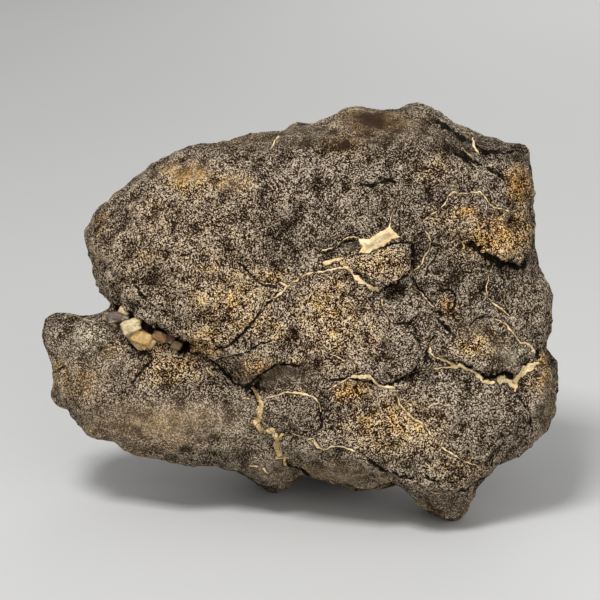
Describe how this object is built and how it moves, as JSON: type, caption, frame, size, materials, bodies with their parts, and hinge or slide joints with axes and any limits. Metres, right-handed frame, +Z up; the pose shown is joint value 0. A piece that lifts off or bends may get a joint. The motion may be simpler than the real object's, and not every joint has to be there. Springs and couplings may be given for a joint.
{
  "type": "chondrite meteorite",
  "caption": "Weathered stony meteorite: one split, wind-worn stone with open cracks, ledges and pale crack filling, resting on three small flats.",
  "frame": {"origin": "middle of the bounding box's base, on the surface that the stone rests on", "axes": "+Z up, +X to the right along the stone's longest way, +Y away from the face that is shown"},
  "size_m": [0.0996, 0.0642, 0.0766],
  "materials": {
    "weathered_stone": "rough, finely speckled dark brown and tan, with pale crack filling"
  },
  "bodies": {
    "root": {"stone": "weathered_stone"}
  },
  "joints": []
}
